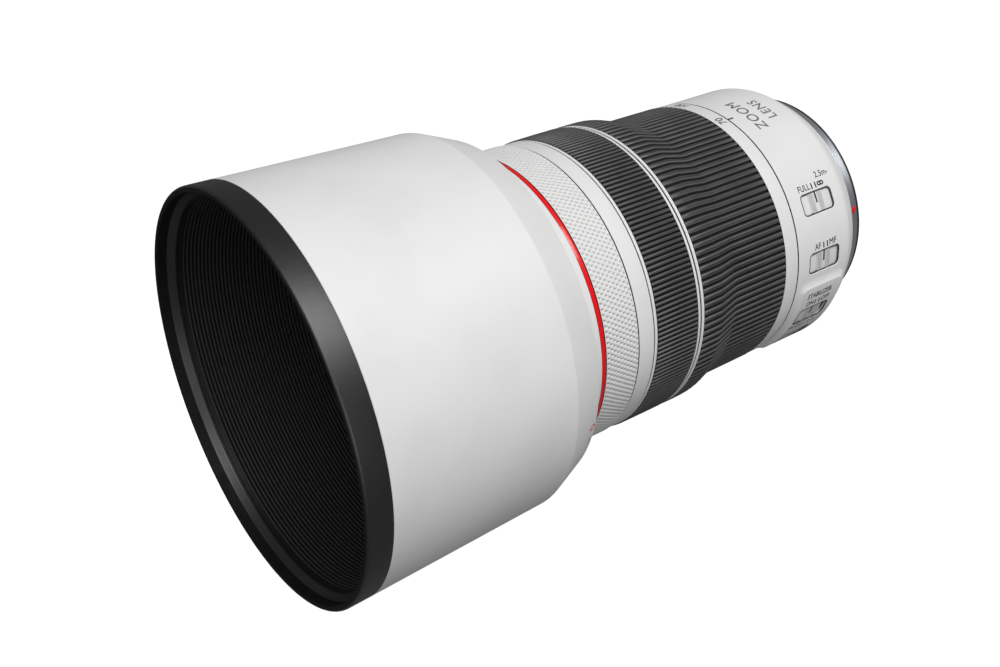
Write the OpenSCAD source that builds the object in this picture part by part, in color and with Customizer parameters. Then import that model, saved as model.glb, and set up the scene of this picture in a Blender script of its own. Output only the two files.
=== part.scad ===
// Telephoto zoom lens with its hood, for a mirrorless camera.
// The optical axis is Y. The mount's flange face is at y = 0 and the lens looks along -Y.
// Angles around the axis are measured from the top (+Z) towards the switch side (+X).

/* [Hood] */
// Distance from the mount's flange face to the hood's front edge
hood_reach = 181.4; // [175:0.1:190]
// Outer radius at the hood's front edge
hood_front_r = 53.5; // [53:0.1:56]
// Outer radius at the hood's shoulder
hood_shoulder_r = 51.6; // [51:0.1:52]
// Outer radius of the hood's rear edge
hood_rear_r = 47.7; // [46:0.1:48.5]
// Length of the black ring at the hood's front
hood_ring_l = 6.7; // [5:0.1:8]
// Wall of the hood's shell
hood_wall = 1.6; // [1.4:0.1:1.8]
// Angle of the hood's release button around the axis
button_phi = 250; // [200:5:290]

/* [Front barrel] */
// Distance from the flange face to the front of the lens
lens_l = 119; // [118:0.5:120]
// Outer radius of the front ring
front_r = 42.2; // [42:0.05:42.25]
// Radius of the filter thread's inner crests, for an M77 x 0.75 thread
thread_r = 38.1; // [38.1]
// Length of the filter thread
thread_l = 3.5; // [3:0.1:3.6]
// Rear edge of the red ring
red_back_y = -105.55; // [-105.7:0.05:-105.3]
// Width of the red ring
red_w = 1.7; // [1.5:0.05:2.2]

/* [Rings] */
// Outer radius of the control ring
control_r = 41.6; // [41.3:0.05:41.8]
// Rear edge of the control ring
control_back_y = -94.75; // [-95.5:0.05:-94.5]
// Outer radius of the focus grip and of the front of the zoom grip
grip_r = 41.75; // [41.5:0.05:41.9]
// Front and rear edges of the focus grip
focus_y = [-88.1, -73.9]; // [-90:0.05:-70]
// Front and rear edges of the zoom grip
zoom_y = [-71.75, -37.95]; // [-74:0.05:-36]
// Outer radius of the back of the zoom grip
zoom_back_r = 39.25; // [39.1:0.05:39.4]
// Turn of the zoom ring from its short to its long end, in degrees
zoom_turn = 75; // [60:1:80]

/* [Rear barrel] */
// Outer radius of the rear barrel
barrel_r = 38.95; // [38.9:0.05:39]
// Front edge of the rear barrel
barrel_front_y = -32.8; // [-33.4:0.05:-32.8]
// Where the rear barrel starts to taper to the mount
taper_y = -12; // [-12.5:0.1:-11.5]
// Rear edge of the rear barrel, where the metal mount ring starts
barrel_back_y = -5.5; // [-6:0.1:-5.4]
// Angles of the four switches around the axis
switch_phi = [48.9, 73.9, 100.5, 117.5]; // [0:0.1:180]
// Angle of the zoom lock around the axis
lock_phi = -62; // [-80:1:-40]

/* [Mount] */
// Outer radius of the mount ring at its front edge
mount_front_r = 35.3; // [35.2:0.05:35.4]
// Outer radius of the mount seal
seal_r = 33.4; // [33.2:0.05:33.6]
// Outer radius of the flange face
flange_r = 32.35; // [32.3:0.05:32.4]
// Outer radius of the bayonet lugs
lug_r = 26.85; // [26.85]
// Outer radius of the bayonet spigot
spigot_r = 25.4; // [25.4]
// Length of the spigot behind the flange face
spigot_l = 5.6; // [5:0.1:6]

/* [Optics] */
// Travel of the front barrel over the zoom range
front_travel = 52; // [40:1:52]
// Travel of the inner zoom group over the zoom range
group_travel = 20; // [18:1:20]
// Number of diaphragm blades
blade_count = 9; // [9]

/* [Hidden] */
$fn = 96;

// Clearance between pieces that move past each other
gap = 0.3;

// Hood
hood_front_y = -hood_reach;
hood_shell_y = hood_front_y + hood_ring_l;
hood_shoulder_y = -122.7;
hood_back_y = -113.1;
hood_bore_r = front_r + 0.4;
lining_t = 0.9;
button_y = -129;
button_size = [11, 12];
button_travel = 0.9;

// Front ring and its bayonet groove for the hood
front_y = -lens_l;
groove_y = [-117.6, -115.0];
groove_r = 41;
lug_inset = 0.35;
lug_span = 24;
hood_lug_phi = [20, 140, 260];

// Tubes, from the outside in
outer_tube_r = [36.9, 37.6];
extending_r = [35.3, 36.5];
cam_r = [33.9, 35];
guide_r = [32.6, 33.6];
sleeve_in_r = outer_tube_r[1] + 0.08;

// Cam followers
pin_r = 1.3;
slot_half = pin_r + 0.35;
front_pin_y = -43;
front_pin_phi = [90, 210, 330];
group_pin_y = -62;
group_pin_phi = [146, 266, 26];
key_y = [-37.2, -34.4];
key_phi = 300;
key_w = 5;

// Switches
window_l = 12.4;
window_w = 6.3;
window_y = [-21.9, -21.9, -22.6, -22.6];
switch_y = [-22.1, -22.1, -22.8, -24.3];
switch_travel = 1.7;
mode_travel = 3.4;
pocket_roof_r = 38.45;
plate_r = [37.5, 38.3];
finger_r = 38.9;
panel_deck_r = 39.15;
panel_finger_r = 39.7;
shell_in_r = 37.3;
panel_r = 39.75;
panel_in_r = barrel_r + 0.02;
panel_phi = [84.5, 127];
lock_y = -26;
lock_travel = 2;

// The plain band between the control and focus rings, and the step in the zoom ring
lip_w = 0.85;
band_y = [control_back_y + gap, focus_y[0] - lip_w - gap];
step_y = [-64.4, -57.3];

// Mount
screw_phi = [20, 110, 200, 290];
screw_pcd_r = 29.8;
screw_r = 1;
lock_pin_phi = 340;
lock_pin_r = 1.7;

// Diaphragm
blade_pivot_r = 24;
blade_t = 0.16;
blade_pitch = 0.46;
blade_y = -54.8;

white = [0.88, 0.88, 0.87];
black = [0.08, 0.08, 0.09];
rubber = [0.16, 0.16, 0.17];
steel = [0.62, 0.63, 0.65];
brass = [0.75, 0.6, 0.3];
glass = [0.6, 0.75, 0.8, 0.5];

// A solid turned about the optical axis from [radius, y] points
module turned(points) {
  rotate([-90, 0, 0]) rotate_extrude($fn = 160) polygon(points);
}

// A plain ring between y0 and y1
module ring(y0, y1, r_in, r_out) {
  turned([[r_in, y0], [r_out, y0], [r_out, y1], [r_in, y1]]);
}

// Part of a ring between two angles
module arc_ring(y0, y1, r_in, r_out, phi0, phi1) {
  rotate([0, phi0 - 90, 0]) rotate([-90, 0, 0]) rotate_extrude(angle = phi1 - phi0, $fn = 160)
    polygon([[r_in, y0], [r_out, y0], [r_out, y1], [r_in, y1]]);
}

// Puts children at an angle and a station along the axis, with their +Z pointing outwards
module place(phi, y) {
  rotate([0, phi, 0]) translate([0, y, 0]) children();
}

// A cylinder parallel to the optical axis, from y0 to y1
module rod(r, y0, y1) {
  translate([0, y0, 0]) rotate([-90, 0, 0]) cylinder(r = r, h = y1 - y0, $fn = 48);
}

// A radial pin at an angle, between two radii
module radial_pin(phi, y, r, r_in, r_out) {
  place(phi, y) translate([0, 0, r_in]) cylinder(r = r, h = r_out - r_in, $fn = 48);
}

// A rectangle with round corners, w across and l along Y
module rounded_rect(w, l, r) {
  square([w - 2 * r, l], center = true);
  square([w, l - 2 * r], center = true);
  for (sx = [-1, 1], sy = [-1, 1]) translate([sx * (w / 2 - r), sy * (l / 2 - r)]) circle(r, $fn = 32);
}

// A rounded block standing at an angle between two radii
module radial_block(phi, y, w, l, corner, r_in, r_out) {
  place(phi, y) translate([0, 0, r_in]) linear_extrude(r_out - r_in) rounded_rect(w, l, corner);
}

// How far a spherical face of the given curvature falls back at radius r
function sag(r, curve) = curve - sqrt(curve * curve - r * r);

// A glass element between two vertices, with bulging faces of the given curvatures
module element(y0, y1, rim_r, curve_0, curve_1) {
  turned(concat(
    [for (t = [0 : 1 / 12 : 1.001]) [rim_r * t, y0 + sag(rim_r * t, curve_0)]],
    [for (t = [0 : 1 / 12 : 1.001]) [rim_r * (1 - t), y1 - sag(rim_r * (1 - t), curve_1)]]
  ));
}

// Hood radius along its tapered shell
function hood_r(y) = hood_front_r - (hood_front_r - hood_shoulder_r)
  * (y - hood_front_y) / (hood_shoulder_y - hood_front_y);

// ---- Hood ----

module hood_button_window(extra) {
  radial_block(button_phi, button_y, button_size[0] + extra, button_size[1] + extra, 2, 46, 56);
}

module hood_shell() {
  wall_front = hood_r(hood_shell_y) - hood_wall;
  wall_back = hood_r(hood_shoulder_y) - hood_wall;
  color(white) {
    difference() {
      turned([
        [wall_front, hood_shell_y], [hood_r(hood_shell_y), hood_shell_y],
        [hood_shoulder_r, hood_shoulder_y - 1], [hood_shoulder_r - 0.15, hood_shoulder_y + 0.6],
        [hood_shoulder_r - 0.8, hood_shoulder_y + 2], [hood_rear_r, hood_back_y],
        [hood_rear_r - 0.6, hood_back_y + 0.35], [hood_bore_r, hood_back_y + 0.35],
        [hood_bore_r, hood_back_y - 6.6], [wall_back - 1.2, hood_back_y - 6.6], [wall_back, -121.5]
      ]);
      hood_button_window(0.7);
    }
    for (phi = hood_lug_phi)
      arc_ring(groove_y[0] + lug_inset, groove_y[1] - lug_inset, groove_r + lug_inset,
               hood_bore_r + 0.5, phi - lug_span / 2, phi + lug_span / 2);
  }
}

module hood_front_ring() {
  r_in = hood_front_r - 1.6;
  ledge_r = hood_front_r - 2.8;
  color(black) turned([
    [r_in + 0.3, hood_front_y], [hood_front_r - 0.5, hood_front_y],
    [hood_front_r - 0.12, hood_front_y + 0.15], [hood_front_r, hood_front_y + 0.6],
    [hood_r(hood_shell_y), hood_shell_y], [ledge_r, hood_shell_y],
    [ledge_r, hood_front_y + 5.4], [r_in, hood_front_y + 2.8], [r_in, hood_front_y + 0.3]
  ]);
}

module hood_lining() {
  front_r = hood_r(hood_shell_y) - hood_wall;
  back_r = hood_r(hood_shoulder_y) - hood_wall;
  color(black) difference() {
    turned([
      [front_r - lining_t, hood_shell_y], [front_r, hood_shell_y], [back_r, -121.5],
      [back_r - 1.2, -119.75], [44, -119.75], [44, -120.5], [back_r - 1.9, -120.5],
      [back_r - lining_t, -122.2]
    ]);
    hood_button_window(3);
  }
}

module hood_release_button() {
  color(white) difference() {
    radial_block(button_phi, button_y, button_size[0], button_size[1], 1.7, 50.5, 52.1);
    for (i = [-2 : 2])
      place(button_phi, button_y + i * 1.6) translate([-4, -0.3, 51.8]) cube([8, 0.6, 1]);
  }
}

module hood_lock_spring() {
  color(steel) place(button_phi, button_y) {
    translate([-2, -7.4, 49.35]) cube([4, 14.8, 0.2]);
    translate([-2, -2.5, 49.55]) cube([4, 5, 0.75]);
  }
}

// ---- Front barrel ----

module front_ring() {
  // The bore widens behind the thread to take the retaining ring
  inner_r = thread_r + 0.9;
  color(white) difference() {
    turned([
      [thread_r + 0.3, front_y], [front_r - 0.6, front_y], [front_r, front_y + 0.6],
      [front_r, groove_y[0]], [groove_r, groove_y[0]], [groove_r, groove_y[1]],
      [front_r, groove_y[1]], [front_r, red_back_y - red_w], [40.25, red_back_y - red_w],
      [40.25, -109.25], [inner_r, -109.25], [inner_r, front_y + 0.3 + thread_l],
      [thread_r, front_y + 0.3 + thread_l], [thread_r, front_y + 0.3]
    ]);
    // Open ends of the bayonet groove, where the hood's lugs slip in
    for (phi = hood_lug_phi)
      arc_ring(front_y - 1, groove_y[0] + 0.5, groove_r + 0.1, front_r + 1,
               phi + 60 - lug_span / 2 - 2, phi + 60 + lug_span / 2 + 2);
  }
}

module red_ring() {
  color([0.85, 0.07, 0.08]) ring(red_back_y - red_w, red_back_y, 40.2, 41.7);
}

module extending_tube() {
  color(white) difference() {
    turned([
      [extending_r[0], -109.2], [40.2, -109.2], [40.2, red_back_y], [extending_r[1], red_back_y],
      [extending_r[1], -40], [extending_r[0], -40]
    ]);
    for (phi = front_pin_phi) radial_pin(phi, front_pin_y, pin_r + 0.02, 34, 38);
  }
}

module name_ring() {
  color(black) turned([
    [34, -112], [37.9, -115.1], [38.9, -115.1], [38.9, -109.3], [34, -109.3]
  ]);
}

module front_cell() {
  color(black) turned([
    [34.4, -109.1], [35.25, -109.1], [35.25, -99], [32.4, -99], [32.4, -99.6],
    [33.1, -99.6], [33.1, -104.4], [32.4, -104.4], [32.4, -105.4], [34.4, -105.4]
  ]);
}

module front_elements() {
  color(glass) {
    element(-114.5, -105.45, 34.3, 95, 900);
    element(-104.35, -99.65, 33, 150, 900);
  }
}

module front_followers() {
  color(brass) for (phi = front_pin_phi) radial_pin(phi, front_pin_y, pin_r, 32.9, 36.45);
}

// ---- Turning rings ----

module control_ring() {
  color(white) turned([
    [sleeve_in_r, red_back_y + gap], [control_r - 0.2, red_back_y + gap],
    [control_r, red_back_y + gap + 0.2], [control_r, control_back_y - 0.15],
    [control_r - 0.15, control_back_y], [sleeve_in_r, control_back_y]
  ]);
}

module focus_sleeve() {
  bed_r = grip_r - 1.8;
  color(white) turned([
    [sleeve_in_r, focus_y[0] - lip_w], [41.2, focus_y[0] - lip_w],
    [41.35, focus_y[0] - lip_w + 0.15], [41.35, focus_y[0]], [bed_r, focus_y[0]],
    [bed_r, focus_y[1]], [41.5, focus_y[1]], [41.5, focus_y[1] + lip_w - 0.2],
    [41.3, focus_y[1] + lip_w], [sleeve_in_r, focus_y[1] + lip_w]
  ]);
}

module focus_grip() {
  color(rubber) ring(focus_y[0], focus_y[1], grip_r - 1.8, grip_r);
}

module zoom_sleeve() {
  bed_r = grip_r - 1.8;
  back_bed_r = zoom_back_r - 0.85;
  sleeve_back_y = barrel_front_y - gap;
  color(white) difference() {
    turned([
      [sleeve_in_r, zoom_y[0] - lip_w], [41.3, zoom_y[0] - lip_w],
      [41.5, zoom_y[0] - lip_w + 0.2], [41.5, zoom_y[0]], [bed_r, zoom_y[0]],
      [bed_r, step_y[0]], [back_bed_r, step_y[1]], [back_bed_r, zoom_y[1]],
      [barrel_r + 0.05, zoom_y[1]], [barrel_r + 0.05, sleeve_back_y - 0.15],
      [barrel_r - 0.1, sleeve_back_y], [sleeve_in_r, sleeve_back_y]
    ]);
    place(key_phi, 0) translate([-key_w / 2, key_y[0], 36]) cube([key_w, key_y[1] - key_y[0], 2.3]);
  }
}

module zoom_grip() {
  bed_r = grip_r - 1.8;
  back_bed_r = zoom_back_r - 0.85;
  color(rubber) turned([
    [bed_r, zoom_y[0]], [grip_r, zoom_y[0]], [grip_r - 0.1, step_y[0] - 0.6],
    [grip_r - 0.3, step_y[0] + 0.2], [zoom_back_r + 0.1, step_y[1] - 0.2],
    [zoom_back_r, step_y[1] + 0.6], [zoom_back_r, zoom_y[1]], [back_bed_r, zoom_y[1]],
    [back_bed_r, step_y[1]], [bed_r, step_y[0]]
  ]);
}

module zoom_key() {
  color(steel) place(key_phi, 0)
    translate([-key_w / 2, key_y[0], cam_r[0] + 0.1])
      cube([key_w, key_y[1] - key_y[0], 38.3 - cam_r[0] - 0.1]);
}

// A helical slot that carries a follower forwards as the barrel turns
module cam_slot(phi, y, travel, half_angle) {
  over = 2;
  turn = zoom_turn * (travel + 2 * over) / travel;
  back_turn = zoom_turn * over / travel;
  rotate([0, phi - 90 + back_turn, 0]) translate([0, y + over, 0]) rotate([90, 0, 0])
    linear_extrude(height = travel + 2 * over, twist = -turn, slices = 24, $fn = 8) polygon([
      [32 * cos(half_angle), -32 * sin(half_angle)], [37 * cos(half_angle), -37 * sin(half_angle)],
      [37 * cos(half_angle), 37 * sin(half_angle)], [32 * cos(half_angle), 32 * sin(half_angle)]
    ]);
}

module cam_barrel() {
  color(steel) difference() {
    ring(-98, -31, cam_r[0], cam_r[1]);
    for (phi = front_pin_phi) cam_slot(phi, front_pin_y, front_travel, 3.9);
    for (phi = group_pin_phi) cam_slot(phi, group_pin_y, group_travel, 7.3);
    place(key_phi, 0) translate([-key_w / 2, key_y[0], 33]) cube([key_w, key_y[1] - key_y[0], 3]);
  }
}

// ---- Fixed tubes ----

module outer_tube() {
  color(white) difference() {
    turned([
      [outer_tube_r[0], -104.9], [outer_tube_r[1], -104.9], [outer_tube_r[1], band_y[0]],
      [41.2, band_y[0]], [41.35, band_y[0] + 0.15], [41.35, band_y[1] - 0.15],
      [41.2, band_y[1]], [outer_tube_r[1], band_y[1]], [outer_tube_r[1], -33.5],
      [outer_tube_r[0], -33.5]
    ]);
    arc_ring(key_y[0] - 0.4, key_y[1] + 0.4, 36, 39, key_phi - 6, key_phi + zoom_turn + 6);
  }
}

// A straight slot in the guide tube, open over the travel of one follower
module guide_slot(phi, y, travel) {
  place(phi, y - travel / 2) translate([-slot_half, -travel / 2 - 2, 32])
    cube([2 * slot_half, travel + 4, 3]);
}

module guide_tube() {
  color(black) difference() {
    ring(-98.5, -11.5, guide_r[0], guide_r[1]);
    for (phi = front_pin_phi) guide_slot(phi, front_pin_y, front_travel);
    for (phi = group_pin_phi) guide_slot(phi, group_pin_y, group_travel);
  }
}

// ---- Zoom group ----

module zoom_cell() {
  color(black) difference() {
    turned([
      [22.6, -66], [32.2, -66], [32.2, -58], [30.6, -58], [30.6, -64.6], [24.6, -64.6],
      [24.6, -58.5], [22.1, -58.5], [22.1, -59.2], [22.6, -59.2]
    ]);
    for (phi = group_pin_phi) radial_pin(phi, group_pin_y, pin_r + 0.02, 30, 33);
  }
}

module zoom_element() {
  color(glass) element(-65.5, -59.3, 22.5, 90, 120);
}

module zoom_followers() {
  color(brass) for (phi = group_pin_phi) radial_pin(phi, group_pin_y, pin_r, 30.7, 34.8);
}

// ---- Diaphragm ----

module diaphragm_housing() {
  color(black) {
    turned([
      [17.5, -56], [32.5, -56], [32.5, -49.5], [17.5, -49.5], [17.5, -50.3], [30.2, -50.3],
      [30.2, -55.2], [17.5, -55.2]
    ]);
    for (i = [0 : blade_count - 1])
      rotate([0, i * 360 / blade_count, 0]) translate([blade_pivot_r, 0, 0]) rod(0.7, -55.2, -50.3);
  }
}

module diaphragm_ring() {
  color(steel) ring(-54.6, -51, 26.4, 29.8);
}

// A crescent that lies outside the open aperture and swings inwards about its own pivot
module diaphragm_blade(i) {
  y = blade_y + i * blade_pitch;
  color(black) rotate([0, i * 360 / blade_count, 0]) difference() {
    union() {
      arc_ring(y, y + blade_t, 17.8, 22.6, 90, 168);
      intersection() {
        translate([blade_pivot_r, 0, 0]) rod(1.8, y, y + blade_t);
        rod(25.7, y, y + blade_t);
      }
      arc_ring(y, y + blade_t, 19, 23.5, 86.5, 93.5);
    }
    translate([blade_pivot_r, 0, 0]) rod(0.77, y - 1, y + blade_t + 1);
  }
}

// ---- Stabilizer ----

module stabilizer_base() {
  color(black) {
    ring(-47.5, -45, 18, 32.5);
    for (phi = [45, 315]) radial_block_along(phi, -45, 25, 9, 6, 1.4);
  }
}

// A flat coil or magnet block on a plate, at an angle and radius, standing towards the mount
module radial_block_along(phi, y, r, w, l, t) {
  place(phi, y) translate([-w / 2, 0, r - l / 2]) cube([w, t, l]);
}

module stabilizer_frame() {
  color(steel) ring(-43.2, -42.2, 17, 29.5);
}

module stabilizer_cell() {
  color(black) turned([
    [16.1, -41.7], [21, -41.7], [21, -39.4], [16.9, -39.4], [16.9, -41.1], [16.1, -41.1]
  ]);
}

module stabilizer_element() {
  color(glass) element(-41.05, -38.95, 16.8, 180, 160);
}

// ---- Focus group ----

module focus_rods() {
  color(steel) for (side = [-1, 1]) translate([27 * side, 0, 0]) rod(1, -37.4, -11.5);
}

module focus_motor() {
  color(steel) place(180, 0) translate([-5, -34, 27.6]) cube([10, 14, 4]);
}

module focus_cell() {
  color(black) difference() {
    union() {
      turned([
        [18.1, -33.5], [23, -33.5], [23, -28.5], [18.7, -28.5], [18.7, -32.8], [18.1, -32.8]
      ]);
      translate([25, -31, 0]) cube([6, 5, 4.4], center = true);
      translate([27, 0, 0]) rod(2.2, -33.5, -27.5);
      translate([-25, -31, 0]) cube([6, 3, 4.4], center = true);
    }
    translate([27, 0, 0]) rod(1.05, -35, -26);
    translate([-29.5, -31, 0]) cube([7, 4, 2.7], center = true);
  }
}

module focus_element() {
  color(glass) element(-32.75, -29, 18.6, 110, 900);
}

// ---- Rear ----

module rear_cell() {
  color(black) turned([
    [20.5, -20], [24.3, -20], [24.3, -3.2], [20.5, -3.2], [20.5, -9.6], [19.4, -9.6],
    [19.4, -12.2], [20.5, -12.2]
  ]);
}

module rear_elements() {
  color(glass) {
    element(-19.5, -12.3, 20.4, 70, 70);
    element(-9.5, -4, 20.4, 80, 140);
  }
}

module rear_frame() {
  color(black) difference() {
    union() {
      turned([
        [35.3, -33.5], [37.25, -33.5], [37.25, -31.8], [35.9, -31.8], [35.9, -9.5],
        [24.4, -9.5], [24.4, -11.5], [34.7, -11.5], [34.7, -30.4], [35.3, -30.4]
      ]);
      for (phi = screw_phi) place(phi, 0) translate([0, 0, screw_pcd_r]) rod(2.4, -9.6, -4);
    }
    for (phi = screw_phi) place(phi, 0) translate([0, 0, screw_pcd_r]) rod(screw_r, -9, -3);
  }
}

module main_board() {
  color([0.05, 0.3, 0.15]) difference() {
    ring(-8.9, -7.7, 25.4, 33.8);
    for (phi = screw_phi) place(phi, 0) translate([0, 0, screw_pcd_r]) rod(2.7, -10, -7);
  }
}

// A rounded window through the barrel wall for one switch
module switch_window(phi, y, l, w) {
  radial_block(phi, y, w, l, 1.4, 34, 42);
}

// The pocket inside the barrel wall in which a switch's plate slides
module switch_pocket(phi, y0, y1, half_angle) {
  arc_ring(y0, y1, 36, pocket_roof_r, phi - half_angle, phi + half_angle);
}

module rear_barrel() {
  color(white) difference() {
    turned([
      [shell_in_r, barrel_front_y], [barrel_r - 0.15, barrel_front_y],
      [barrel_r, barrel_front_y + 0.15], [barrel_r, taper_y - 0.6], [barrel_r - 0.3, taper_y + 0.4],
      [mount_front_r, barrel_back_y], [34.2, barrel_back_y], [36, -9.4], [shell_in_r, -12.5]
    ]);
    for (i = [0 : 3]) {
      switch_window(switch_phi[i], window_y[i], window_l, window_w);
      switch_pocket(switch_phi[i], window_y[i] - 9, window_y[i] + 9, 6.2);
    }
    switch_window(lock_phi, lock_y, 9, 7);
    switch_pocket(lock_phi, -32.5, -17, 6.8);
  }
}

module stabilizer_panel() {
  color(white) difference() {
    rotate([0, panel_phi[0] - 90, 0]) rotate([-90, 0, 0])
      rotate_extrude(angle = panel_phi[1] - panel_phi[0], $fn = 160) polygon([
        [panel_in_r, -31.6], [panel_r - 0.2, -30.1], [panel_r, -29.6], [panel_r, -13.9],
        [panel_r - 0.3, -13.3], [panel_in_r, -12.7]
      ]);
    for (i = [2, 3]) switch_window(switch_phi[i], window_y[i], window_l, window_w);
  }
}

// A sliding switch: a curved plate under the barrel wall with a finger piece on top
module slide_switch(phi, y, plate_y, half_angle, top_r, top_w) {
  groove_d = 0.25;
  arc_ring(plate_y[0], plate_y[1], plate_r[0], plate_r[1], phi - half_angle, phi + half_angle);
  difference() {
    radial_block(phi, y, top_w, 5.2, 0.3, plate_r[1] - 0.4, top_r);
    place(phi, y) translate([-5, -0.75, top_r - groove_d]) cube([10, 1.5, 1]);
  }
}

// A raised deck that fills most of a window in the thick panel
module switch_deck(phi, y, l) {
  radial_block(phi, y - (window_l - l) / 2 + 0.1, 5.7, l, 1.2, plate_r[1] - 0.4, panel_deck_r);
}

module limiter_knob() {
  color(white) slide_switch(switch_phi[0], switch_y[0], [-30.2, -15], 5.1, finger_r, 5.7);
}

module focus_mode_knob() {
  color(white) slide_switch(switch_phi[1], switch_y[1], [-30.2, -15], 5.1, finger_r, 5.7);
}

module stabilizer_knob() {
  color(white) {
    slide_switch(switch_phi[2], switch_y[2], [-30.9, -15.7], 5.1, panel_finger_r, 5.7);
    switch_deck(switch_phi[2], window_y[2], window_l - switch_travel - 0.3);
  }
}

module stabilizer_mode_knob() {
  color(white) {
    slide_switch(switch_phi[3], switch_y[3], [-31.2, -17.3], 5.1, panel_finger_r, 5.7);
    switch_deck(switch_phi[3], window_y[3], window_l - mode_travel - 0.3);
  }
}

module zoom_lock_knob() {
  color(white) slide_switch(lock_phi, lock_y + 0.9, [-30.2, -17.4], 5.9, 39.6, 6.2);
}

// ---- Mount ----

module lens_screw_places() {
  for (phi = screw_phi) place(phi, 0) translate([0, 0, screw_pcd_r]) children();
}

module mount_ring() {
  color(steel) {
    difference() {
      turned([
        [32.4, barrel_back_y], [mount_front_r, barrel_back_y], [seal_r, -0.9], [flange_r, -0.9],
        [flange_r, 0], [27.2, 0], [27.2, -0.8], [spigot_r, -0.8], [spigot_r, spigot_l - 0.3],
        [spigot_r - 0.3, spigot_l], [22.6, spigot_l], [22.6, -2.9], [24.4, -2.9], [24.4, -4],
        [32.4, -4]
      ]);
      lens_screw_places() rod(screw_r + 0.1, -5, 1);
      lens_screw_places() rod(2.05, -1.2, 1);
      place(lock_pin_phi, 0) translate([0, 0, screw_pcd_r]) rod(lock_pin_r, -2.2, 1);
    }
    for (phi = [15, 135, 255])
      arc_ring(3.3, spigot_l - 0.3, spigot_r - 1, lug_r, phi - 27, phi + 27);
  }
}

module mount_seal() {
  color(black) ring(-0.9, 0, flange_r, seal_r);
}

module mount_screws() {
  recess = [2.2, 1.2, 0.5];
  color(steel) lens_screw_places() difference() {
    union() {
      rod(2, -1.2, -0.1);
      rod(screw_r, -8.5, -1.1);
    }
    cube(recess, center = true);
    cube([recess.z, recess.y, recess.x], center = true);
  }
}

module contact_block() {
  color(black) arc_ring(-2.2, 4.6, 20.2, 22.5, 148, 212);
}

module contact_pins() {
  color([0.85, 0.68, 0.3])
    for (i = [-5.5 : 5.5]) place(180 + i * 5, 0) translate([0, 0, 21.3]) rod(0.5, 4.6, 4.95);
}

module rear_baffle() {
  color(black) difference() {
    ring(-3.1, -2.3, 10, 22.5);
    translate([-17, -4, -11.5]) cube([34, 3, 23]);
  }
}

hood_shell();
hood_front_ring();
hood_lining();
hood_lock_spring();
hood_release_button();
front_ring();
red_ring();
extending_tube();
name_ring();
front_cell();
front_elements();
front_followers();
control_ring();
focus_sleeve();
focus_grip();
zoom_sleeve();
zoom_grip();
zoom_key();
cam_barrel();
outer_tube();
guide_tube();
zoom_cell();
zoom_element();
zoom_followers();
diaphragm_housing();
diaphragm_ring();
diaphragm_blade(0);  // diaphragm_blade_1
diaphragm_blade(1);  // diaphragm_blade_2
diaphragm_blade(2);  // diaphragm_blade_3
diaphragm_blade(3);  // diaphragm_blade_4
diaphragm_blade(4);  // diaphragm_blade_5
diaphragm_blade(5);  // diaphragm_blade_6
diaphragm_blade(6);  // diaphragm_blade_7
diaphragm_blade(7);  // diaphragm_blade_8
diaphragm_blade(8);  // diaphragm_blade_9
stabilizer_base();
stabilizer_frame();
stabilizer_cell();
stabilizer_element();
focus_rods();
focus_motor();
focus_cell();
focus_element();
rear_cell();
rear_elements();
rear_frame();
main_board();
rear_barrel();
stabilizer_panel();
limiter_knob();
focus_mode_knob();
stabilizer_knob();
stabilizer_mode_knob();
zoom_lock_knob();
mount_ring();
mount_seal();
mount_screws();
contact_block();
contact_pins();
rear_baffle();
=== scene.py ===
import bpy
import bmesh
import numpy as np
from math import atan2, cos, degrees, hypot, pi, radians, sin, tan
from mathutils import Matrix, Vector


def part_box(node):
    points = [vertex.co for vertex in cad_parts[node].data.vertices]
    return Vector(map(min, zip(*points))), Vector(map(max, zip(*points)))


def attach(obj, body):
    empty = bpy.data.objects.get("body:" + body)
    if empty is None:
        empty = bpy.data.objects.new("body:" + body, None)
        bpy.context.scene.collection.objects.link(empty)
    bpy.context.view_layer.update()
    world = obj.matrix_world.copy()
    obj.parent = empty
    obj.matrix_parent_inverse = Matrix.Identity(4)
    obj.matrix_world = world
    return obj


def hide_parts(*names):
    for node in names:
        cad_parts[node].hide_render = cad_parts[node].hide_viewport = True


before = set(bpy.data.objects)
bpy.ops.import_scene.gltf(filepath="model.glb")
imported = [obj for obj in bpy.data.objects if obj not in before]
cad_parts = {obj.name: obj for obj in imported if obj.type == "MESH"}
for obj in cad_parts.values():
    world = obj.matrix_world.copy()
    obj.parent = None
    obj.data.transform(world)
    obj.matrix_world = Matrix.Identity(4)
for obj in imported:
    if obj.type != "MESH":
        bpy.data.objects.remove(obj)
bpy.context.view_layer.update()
scene = bpy.context.scene

# The optical axis is Y and the lens looks along -Y. Lengths below are in millimetres until a mesh is made.
# Angles around the axis are in degrees from the top (+Z) towards the switch side (+X).
MM = 0.001
TAU = 2 * pi


# ---- measures from the frame

def span(node):
    """Front y, rear y and outer radius of a round CAD node."""
    low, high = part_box(node)
    reach = max(high.x, -low.x, high.z, -low.z)
    return round(low.y / MM, 3), round(high.y / MM, 3), round(reach / MM, 2)


def bearing(node):
    """Angle around the axis of the middle of a CAD node's box."""
    low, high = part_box(node)
    return degrees(atan2(low.x + high.x, low.z + high.z))


# ---- mesh helpers

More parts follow.
